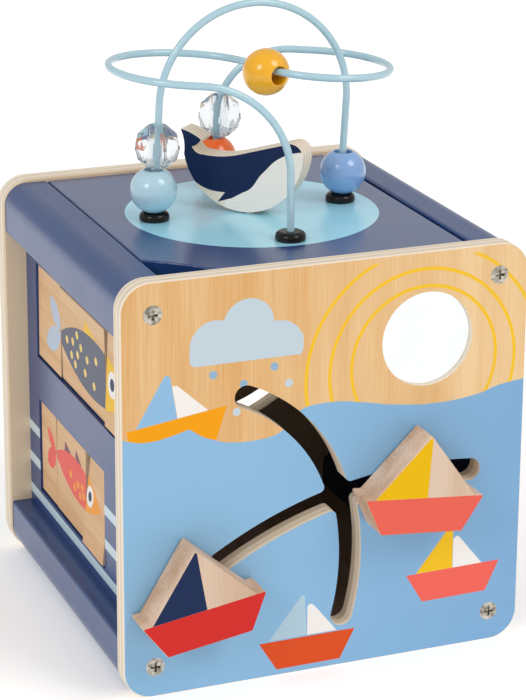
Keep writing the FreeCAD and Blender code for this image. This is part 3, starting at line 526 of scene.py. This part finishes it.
def rear_panel():
    """The rear picture is a guess in the front one's manner: sun, cloud, boat, water and sand."""
    paint = Paint("rear_print", specular=INK_GLOSS)
    face = facing(paint.ny)
    grain(paint, WOOD_LIGHT, WOOD_DARK, "z", contrast=PANEL_GRAIN)
    paint.layer(INNER_WOOD, facing(-paint.ny) * INNER_PALE)
    sheet = Sheet(paint, -paint.x, paint.z)
    for radius in REAR_SUN_RINGS:
        printed(paint, SUN, sheet.ring(*REAR_SUN, radius, SUN_LINE), face)
    printed(paint, SUN, sheet.disc(*REAR_SUN, REAR_SUN_R), face)
    cloud = sheet.block(-45.0, 160.5, 26.0, 5.5, 3.0)
    cloud = cloud.either(sheet.disc(-58.0, 163.0, 11.0), sheet.disc(-43.0, 171.5, 12.0),
                         sheet.disc(-29.0, 162.0, 9.0))
    printed(paint, CLOUD, cloud.both(-(sheet.v - REAR_CLOUD_BASE)), face)
    printed(paint, SAIL_PALE, sheet.v - paint.curve(sheet.u, ACROSS, FAR_WATER, (90.0, 130.0)), face)
    printed(paint, SEA, sheet.v - paint.curve(sheet.u, ACROSS, NEAR_WATER, (80.0, 120.0)), face)
    printed_boat(
        paint, face,
        sheet.polygon((-86.0, 118.0), (-80.0, 106.0), (-52.0, 106.0), (-46.0, 118.0)),
        sheet.polygon((-81.0, 119.0), (-67.5, 119.0), (-68.5, 139.0), (-69.5, 139.0)),
        sheet.polygon((-66.5, 119.0), (-53.0, 119.0), (-65.5, 134.0), (-66.5, 134.0)),
        (HULL_CORAL, SAIL_YELLOW, WHITE))
    printed(paint, SAND, sheet.v - paint.curve(sheet.u, ACROSS, SEA_BED, (0.0, 40.0)), face)
    for u, v, radius in BUBBLES:
        printed(paint, CLOUD, sheet.ring(u, v, radius, BUBBLE_LINE), face)
    for u, lean, colour in WEEDS:
        blade = Sheet(paint, sheet.u, sheet.v, (u, WEED_Z), 90.0 - lean)
        printed(paint, colour, blade.lens(0.0, 0.0, WEED_HALF_LENGTH, WEED_HALF_WIDTH), face)
    edge = turned_away(paint.ny, PANEL_EDGE)
    layered_edge(paint, paint.y - REAR_FACE_Y, edge, PANEL_PLIES, PANEL_T)
    varnish(paint, face)
    return paint.finish()


# ---- navy paint ----------------------------------------------------------------------------------
STRIPE_W = 5.0
STRIPE_HEIGHTS = (34.5, 52.0, 69.5)
RAIL_COAT = 0.55
LID_COAT = 1.0
DISC_PRINT_R = 61.5


def navy(name, coat, stripes=(), outward=0.0, disc=None):
    """Satin navy paint on wood, its brush streaks along Y.

    stripes are heights in millimetres on the face that looks outward along X. disc is the radius of the
    printed disc on the top."""
    paint = Paint(name, coat=coat, coat_roughness=0.22, specular=0.3)
    streak = paint.noise((1.6, 60.0, 1.6), detail=3.0, shift=2.0)
    cloud = paint.noise((22.0, 22.0, 22.0), detail=3.0, shift=13.0)
    paint.colour = paint.mix(srgb(NAVY_DEEP), srgb(NAVY_BRIGHT), cloud * 0.6 + streak * 0.4)
    if disc:
        face = facing(paint.nz)
        figure = Sheet(paint, paint.x, paint.y).disc(0.0, 0.0, disc)
        paint.layer(DISC_BLUE, figure.inside() * face)
    for height in stripes:
        band = (paint.z - height).size() - STRIPE_W / 2
        paint.layer(STRIPE, band.inside() * facing(paint.nx * outward))
    orange_peel = paint.noise((1.3, 1.3, 1.3), detail=2.0, shift=23.0)
    paint.raise_by(streak * 0.03 + orange_peel * 0.012)
    paint.put("Roughness", (cloud - 0.5) * 0.16 + (streak - 0.5) * 0.1 + 0.4)
    return paint.finish()


# ---- plain and painted wood ----------------------------------------------------------------------
BLOCK_GRAIN = 0.8
BOAT_GRAIN = 1.1
BLOCK_FRONT = 0.6        # a normal with more than this outward is on a block's painted front
BLOCK_FACE_COVER = 0.45
PUPIL = 0.48             # of the eye's radius
TAIL_END = -8.0          # where the sliding fish's coral tail meets its body, from the peg
BANDS = (-28.0, -21.0, -14.0)      # the centres of its curved bands
BAND_R = 24.0
BAND_W = 1.4


def plain_wood(name, along):
    paint = Paint(name)
    grain(paint, BARE_LIGHT, BARE_DARK, along, contrast=BLOCK_GRAIN)
    uneven_gloss(paint, 0.6, 0.15, 4.0, 17.0)
    return paint.finish()


def pivot(name):
    """The place of a joint in millimetres."""
    return [value / MM for value in joints[name]["pos_m"]]


BOAT_ONE_LEAN = 9.0      # degrees, anticlockwise
BOAT_TWO_LEAN = -5.3
BOAT_DECK = -4.0         # the hull's top edge, from the peg
SAIL_HALF = 25.3
SAIL_TIP = 26.2


def boat(name, lean, hull, sail):
    """A block of bare wood, its front painted with a hull and one sail. The other sail stays bare."""
    paint = Paint(name + "_paint", specular=INK_GLOSS)
    x, _, z = pivot(name + "_turn")
    sheet = Sheet(paint, paint.x, paint.z, (x, z), lean)
    grain(paint, BARE_LIGHT, BARE_DARK, "z", contrast=BOAT_GRAIN)
    face = facing(-paint.ny, BLOCK_FRONT)
    paint.layer(BLOCK_FACE, face * BLOCK_FACE_COVER)
    figure = (sheet.v - BOAT_DECK).inside()
    paint.layer(hull, figure * face)
    left = sheet.polygon((-SAIL_HALF, BOAT_DECK), (1.0, BOAT_DECK), (0.5, SAIL_TIP - 1.2),
                         (-0.4, SAIL_TIP - 1.0))
    paint.layer(sail, left.inside() * face * figure.opposite())
    uneven_gloss(paint, 0.48, 0.14, 9.0, 29.0)
    return paint.finish()


def rear_fish():
    """A fish with curved bands. Its peg is the origin and its head lies along u."""
    paint = Paint("rear_fish_paint", specular=INK_GLOSS)
    x, _, z = pivot("rear_fish_turn")
    sheet = Sheet(paint, -paint.x, paint.z, (x, z))
    grain(paint, BARE_LIGHT, BARE_DARK, "x", contrast=BLOCK_GRAIN)
    face = facing(paint.ny, BLOCK_FRONT)
    paint.layer(HULL_YELLOW, face)
    paint.layer(HULL_CORAL, face * (sheet.u - TAIL_END).inside())
    trunk = (-sheet.u + TAIL_END).inside()
    for u in BANDS:
        paint.layer(HULL_CORAL, sheet.ring(u, 0.0, BAND_R, BAND_W).inside() * face * trunk)
    paint.layer(WHITE, sheet.disc(17.0, 3.0, 3.2).inside() * face)
    paint.layer(NAVY, sheet.disc(17.4, 3.0, 1.6).inside() * face)
    uneven_gloss(paint, 0.46, 0.14, 9.0, 29.0)
    return paint.finish()


# ---- flip tiles ----------------------------------------------------------------------------------
TILE_T = 7.0
TILE_PLIES = 5
TILE_GRAIN = 0.9
# how much of the painted edge shade covers a tile's cut edges
TILE_EDGE_SHADE_COVER = 0.6
SMALL_FACE = 0.7         # a normal with more than this across a tile or the whale is on its face
DOT_R = 2.1
# Places are in millimetres from the row's rod, towards the front and up.
# body: centre, turn in degrees, half length, half height. root, seam: where body and head start.
# eye: centre, radius. lobes of the tail: start, turn, length, half width.
# dots: in shares of the body's half length and half height.
UPPER_FISH = {
    "body": (17.5, -2.4, 0.0, 56.0, 15.5),
    "root": -32.6,
    "seam": 37.5,
    "eye": (47.2, -0.6, 6.4),
    "lobes": ((-33.0, 0.5, 143.0, 22.0, 5.2), (-33.0, -1.5, 205.0, 27.0, 6.2)),
    "fins": (((5.0, 10.0), (27.0, 8.0), (25.4, 12.6), (7.7, 18.7)),),
    "dots": (
        (-0.72, 0.12), (-0.55, 0.25), (-0.32, 0.3), (-0.6, -0.25), (-0.42, -0.05), (-0.5, -0.45),
        (-0.42, 0.6), (-0.22, -0.4), (-0.15, 0.1), (0.02, -0.55), (0.1, 0.35),
    ),
}
LOWER_FISH = {
    "body": (-9.5, 2.6, -4.0, 37.0, 10.4),
    "root": -46.0,
    "seam": 4.0,
    "eye": (9.8, 2.0, 5.2),
    "lobes": ((-45.0, 4.4, 148.0, 17.0, 3.4), (-45.0, 4.0, 212.0, 17.0, 5.4)),
    "fins": (
        ((-31.7, 8.0), (-17.7, 8.0), (-17.7, 12.0), (-29.4, 16.6)),
        ((-13.5, 8.0), (-3.0, 8.0), (-3.3, 13.0), (-12.0, 18.6)),
    ),
    "dots": ((-0.3, -0.1), (-0.12, -0.5), (0.02, -0.15), (0.12, -0.55), (0.2, 0.0), (0.27, -0.35)),
}


def fish_tile(name, centre_z, colours, fish):
    """One material for a row of tiles: a fish in plain shapes across all three, its head to the front.

    colours are the body's, fins', tail's, head's and dots'."""
    body, fin, tail, head, dot = colours
    paint = Paint(name, specular=INK_GLOSS)
    grain(paint, TILE_LIGHT, TILE_DARK, "y", contrast=TILE_GRAIN)
    face = facing(paint.nx.size(), SMALL_FACE)
    sheet = Sheet(paint, -paint.y, paint.z, (0.0, centre_z))
    for u, v, turn, length, half_width in fish["lobes"]:
        lobe = Sheet(paint, sheet.u, sheet.v, (u, v), turn)
        printed(paint, tail, lobe.lens(length / 2, 0.0, length / 2, half_width), face)
    for corners in fish["fins"]:
        printed(paint, fin, sheet.polygon(*corners), face)
    u, v, turn, half_length, half_height = fish["body"]
    trunk = Sheet(paint, sheet.u, sheet.v, (u, v), turn)
    whole = trunk.lens(0.0, 0.0, half_length, half_height).both(-(sheet.u - fish["root"]))
    printed(paint, body, whole, face)
    for along, up in fish["dots"]:
        spot = trunk.disc(along * half_length, up * half_height, DOT_R)
        printed(paint, dot, spot.both(whole), face)
    printed(paint, head, whole.both(-(sheet.u - fish["seam"])), face)
    eye_u, eye_v, eye_r = fish["eye"]
    printed(paint, WHITE, sheet.disc(eye_u, eye_v, eye_r), face)
    printed(paint, NAVY, sheet.disc(eye_u, eye_v, eye_r * PUPIL), face)
    edge = turned_away(paint.nx, SMALL_FACE)
    layered_edge(paint, paint.x, edge, TILE_PLIES, TILE_T)
    # painted shade: the cut edges are darkened as if in the shadow between the tiles
    paint.layer(TILE_EDGE_SHADE, edge * TILE_EDGE_SHADE_COVER)
    varnish(paint, face)
    return paint.finish()


# ---- whale ---------------------------------------------------------------------------------------
WHALE_TURN = 45.0
WHALE_T = 12.0
WHALE_PLIES = 8
WHALE_SPAN = (-38.0, 38.0)    # from tail to nose, past both
BELLY_LINE = (                # where the dark back meets the belly, up from the lid
    (-38.0, 19.0), (-30.0, 14.5), (-20.5, 10.0), (-11.0, 9.5), (-2.0, 10.5), (8.0, 21.0), (18.0, 30.0),
    (28.0, 33.5), (38.0, 34.0),
)
THREAD_PITCH = 1.25
THREAD_SHARE = 0.2            # of the pitch
THREAD_COVER = 0.7
WARM_BELOW = -12.0            # the belly is warmer towards the tail from here
WARM_COVER = 0.55


def whale():
    """A dark back over a pale belly with fine lines. The whale stands turned from the cube's axes."""
    paint = Paint("whale_print", specular=INK_GLOSS)
    paint.colour = srgb(BELLY)
    c = math.cos(math.radians(WHALE_TURN))
    s = math.sin(math.radians(WHALE_TURN))
    along = paint.x * c - paint.y * s
    across = paint.x * s + paint.y * c
    sheet = Sheet(paint, along, paint.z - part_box("lid")[1].z / MM)
    face = facing((paint.nx * s + paint.ny * c).size(), SMALL_FACE)
    line = paint.curve(along, WHALE_SPAN, BELLY_LINE, (0.0, 40.0))
    ripple = (along * 0.4).math("SINE") * 0.2
    rows = ((line - sheet.v + ripple) / THREAD_PITCH).math("FRACT")
    thread = ((rows - 0.5).size() - THREAD_SHARE / 2).inside(0.16)
    paint.layer(BELLY_THREAD, thread * face * THREAD_COVER)
    tail_side = (sheet.u - WARM_BELOW).inside(3.0)
    paint.layer(BELLY_WARM, tail_side * face * WARM_COVER)
    fin = sheet.polygon((-15.5, 4.3), (-8.0, 6.9), (-1.9, 10.6), (-11.1, 10.2))
    dark = (line - sheet.v).either(fin)
    paint.layer(NAVY_PRINT, dark.inside() * face)
    layered_edge(paint, across, face.opposite(), WHALE_PLIES, WHALE_T)
    uneven_gloss(paint, 0.42, 0.15, 8.0, 37.0)
    return paint.finish()


# ---- beads, wire, rubber, steel, mirror ----------------------------------------------------------
GEAR_GLOSS = (0.4, 0.1)       # roughness and coat
WIRE_GLOSS = (0.2, 0.6)
CLEARNESS = 0.92
CLEAR_IOR = 1.25              # lower than acrylic's, so that the wire inside stays easy to see


def gloss(name, colour, roughness=0.22, coat=0.5):
    """Thick gloss paint, slightly uneven."""
    paint = Paint(name, coat=coat, coat_roughness=0.08)
    cloud = paint.noise((6.0, 6.0, 6.0), detail=2.0, shift=41.0)
    dust = paint.noise((0.6, 0.6, 0.6), detail=1.0, shift=43.0)
    base = srgb(colour)
    darker = tuple(v * 0.9 for v in base[:3]) + (1.0,)
    paint.colour = paint.mix(base, darker, cloud)
    paint.put("Roughness", (cloud - 0.5) * 0.1 + roughness)
    paint.raise_by(cloud * 0.06 + dust * 0.004)
    return paint.finish()


def rubber():
    paint = Paint("black_rubber", specular=0.3)
    grit = paint.noise((0.7, 0.7, 0.7), detail=3.0, shift=47.0)
    paint.colour = paint.mix(srgb(RUBBER_DARK), srgb(RUBBER_PALE), grit)
    paint.put("Roughness", (grit - 0.5) * 0.12 + 0.16)
    paint.raise_by(grit * 0.02)
    return paint.finish()


def steel():
    paint = Paint("zinc_steel", metallic=1.0)
    brushed = paint.noise((0.5, 0.5, 0.5), detail=4.0, rough=0.7, shift=53.0)
    stain = paint.noise((2.2, 2.2, 2.2), detail=2.0, shift=59.0)
    blotches = stain.math("MULTIPLY_ADD", 3.2, -1.2, clamp=True)
    paint.colour = paint.mix(srgb(STEEL_PALE), srgb(STEEL_DARK), blotches)
    paint.put("Roughness", (brushed - 0.5) * 0.2 + 0.36)
    paint.raise_by(brushed * 0.03)
    return paint.finish()


def mirror():
    paint = Paint("mirror_face", metallic=1.0)
    haze = paint.noise((12.0, 12.0, 12.0), detail=3.0, shift=61.0)
    paint.colour = paint.mix(srgb(SILVER_PALE), srgb(SILVER_DARK), haze)
    paint.put("Roughness", haze * 0.05 + 0.03)
    return paint.finish()


def clear():
    paint = Paint("clear_acrylic")
    haze = paint.noise((5.0, 5.0, 5.0), detail=2.0, shift=67.0)
    paint.colour = paint.mix(srgb(ACRYLIC_PALE), srgb(ACRYLIC_DARK), haze)
    paint.put("Roughness", haze * 0.05 + 0.035)
    paint.put("Transmission Weight", CLEARNESS)
    paint.put("IOR", CLEAR_IOR)
    return paint.finish()


def dress(material, *names):
    """Gives a material to CAD nodes."""
    for name in names:
        for material_slot in nodes[name].material_slots:
            material_slot.material = material


dress(front_panel(), "front_panel")
dress(rear_panel(), "rear_panel")
dress(navy("navy_rail", RAIL_COAT), "rail_top_left", "rail_top_right", "rail_bottom_left",
      "rail_bottom_right")
dress(navy("navy_left_board", RAIL_COAT, stripes=STRIPE_HEIGHTS, outward=-1.0), "left_board")
dress(navy("navy_right_board", RAIL_COAT, stripes=STRIPE_HEIGHTS, outward=1.0), "right_board")
dress(navy("navy_lid", LID_COAT, disc=DISC_PRINT_R), "lid")
dress(plain_wood("inside_wood", "y"), "base_board", "lid_batten_left", "lid_batten_right")
dress(plain_wood("peg_wood", "y"), "boat_one_peg", "boat_one_disc", "boat_two_peg", "boat_two_disc",
      "rear_fish_peg", "rear_fish_disc")
dress(plain_wood("pin_wood", "x"), "gear_pins")
dress(boat("boat_one", BOAT_ONE_LEAN, BLOCK_RED, NAVY_PRINT), "boat_one")
dress(boat("boat_two", BOAT_TWO_LEAN, BLOCK_CORAL, BLOCK_YELLOW), "boat_two")
dress(rear_fish(), "rear_fish")
for row, row_colours, row_fish in (
        ("upper", (FISH_SLATE, SUN, FISH_PALE, SUN, FISH_CREAM), UPPER_FISH),
        ("lower", (FISH_CORAL, FISH_MAUVE, FISH_CORAL, FISH_ORANGE, FISH_ORANGE), LOWER_FISH)):
    rod_z = pivot(row + "_tile_middle_flip")[2]
    dress(fish_tile(row + "_fish", rod_z, row_colours, row_fish),
          row + "_tile_tail", row + "_tile_middle", row + "_tile_head")
dress(whale(), "whale")
for bead, bead_colour in BEAD_COLOURS.items():
    dress(gloss(bead + "_gloss", bead_colour), bead)
dress(gloss("gear_yellow", SUN, *GEAR_GLOSS), "large_gear")
dress(gloss("gear_coral", HULL_CORAL, *GEAR_GLOSS), "upper_gear")
dress(gloss("gear_blue", BEAD_COLOURS["bead_blue"], *GEAR_GLOSS), "lower_gear")
dress(gloss("wire_coat", WIRE_BLUE, *WIRE_GLOSS), "arch_wire", "loop_wire")
dress(rubber(), "wire_grommets")
dress(steel(), "front_screws", "rear_screws", "upper_tile_rod", "lower_tile_rod", "wire_washers",
      "wire_nuts", "whale_washer", "whale_screw", "boat_one_screw", "boat_two_screw", "rear_fish_screw")
dress(mirror(), "mirror_disc")
dress(clear(), "bead_clear_left", "bead_clear_rear")


# ---- floor, light and camera ---------------------------------------------------------------------
FLOOR_HALF = 4.0         # metres
FLOOR_GLOW = 0.25
WORLD_LIGHT = 0.62
LAMP_DISTANCE = 2.0      # metres
# Each lamp: name, azimuth and elevation in degrees, strength, spread in degrees, tint.
LAMPS = (
    ("key_light", 38.0, 46.0, 0.84, 26.0, WARM_LIGHT),
    ("left_light", -60.0, 32.0, 0.58, 20.0, "#ffffff"),
)


def floor():
    """A wide sheet of white paper that glows a little."""
    half = FLOOR_HALF
    mesh = bpy.data.meshes.new("floor")
    corners = [(-half, -half, 0), (half, -half, 0), (half, half, 0), (-half, half, 0)]
    mesh.from_pydata(corners, [], [(0, 1, 2, 3)])
    sheet = bpy.data.objects.new("floor", mesh)
    bpy.context.scene.collection.objects.link(sheet)
    paper = bpy.data.materials.new("studio_paper")
    paper.use_nodes = True
    surface = paper.node_tree.nodes["Principled BSDF"]
    surface.inputs["Base Color"].default_value = srgb(PAPER)
    surface.inputs["Emission Color"].default_value = srgb(PAPER_GLOW)
    surface.inputs["Emission Strength"].default_value = FLOOR_GLOW
    surface.inputs["Roughness"].default_value = 0.9
    mesh.materials.append(paper)


def lamp(name, azimuth, elevation, strength, spread, tint):
    """A wide, distant light. Azimuth 0 is in front and 90 at the right."""
    light = bpy.data.lights.new(name, "SUN")
    light.energy = strength
    light.angle = math.radians(spread)
    light.color = srgb(tint)[:3]
    holder = bpy.data.objects.new(name, light)
    turn = math.radians(azimuth)
    rise = math.radians(elevation)
    source = Vector((math.sin(turn) * math.cos(rise), -math.cos(turn) * math.cos(rise), math.sin(rise)))
    holder.rotation_euler = source.to_track_quat("Z", "Y").to_euler()
    holder.location = source * LAMP_DISTANCE
    bpy.context.scene.collection.objects.link(holder)


def studio():
    world = bpy.data.worlds.new("studio")
    world.use_nodes = True
    sky = world.node_tree.nodes["Background"]
    sky.inputs["Color"].default_value = (1.0, 1.0, 1.0, 1.0)
    sky.inputs["Strength"].default_value = WORLD_LIGHT
    bpy.context.scene.world = world
    for settings in LAMPS:
        lamp(*settings)


CAMERA_PLACE = Vector((-0.4280, -1.0924, 0.5341))
CAMERA_YAW = math.radians(21.665)
CAMERA_PITCH = math.radians(17.058)
CAMERA_ROLL = math.radians(0.324)
CAMERA_FOCAL = 3.6006    # in picture heights
CAMERA_SHIFT = -0.1314


def camera():
    eye = bpy.data.cameras.new("camera")
    eye.sensor_width = 36.0
    eye.lens = CAMERA_FOCAL * eye.sensor_width
    eye.shift_y = CAMERA_SHIFT
    eye.clip_start = 0.01
    holder = bpy.data.objects.new("camera", eye)
    level = math.cos(CAMERA_PITCH)
    drop = math.sin(CAMERA_PITCH)
    ahead = Vector((math.sin(CAMERA_YAW) * level, math.cos(CAMERA_YAW) * level, -drop))
    turn = ahead.to_track_quat("-Z", "Y").to_matrix().to_4x4()
    holder.matrix_world = Matrix.Translation(CAMERA_PLACE) @ turn @ Matrix.Rotation(CAMERA_ROLL, 4, "Z")
    bpy.context.scene.collection.objects.link(holder)
    bpy.context.scene.camera = holder


floor()
studio()
camera()
bpy.context.scene.view_settings.view_transform = "Standard"
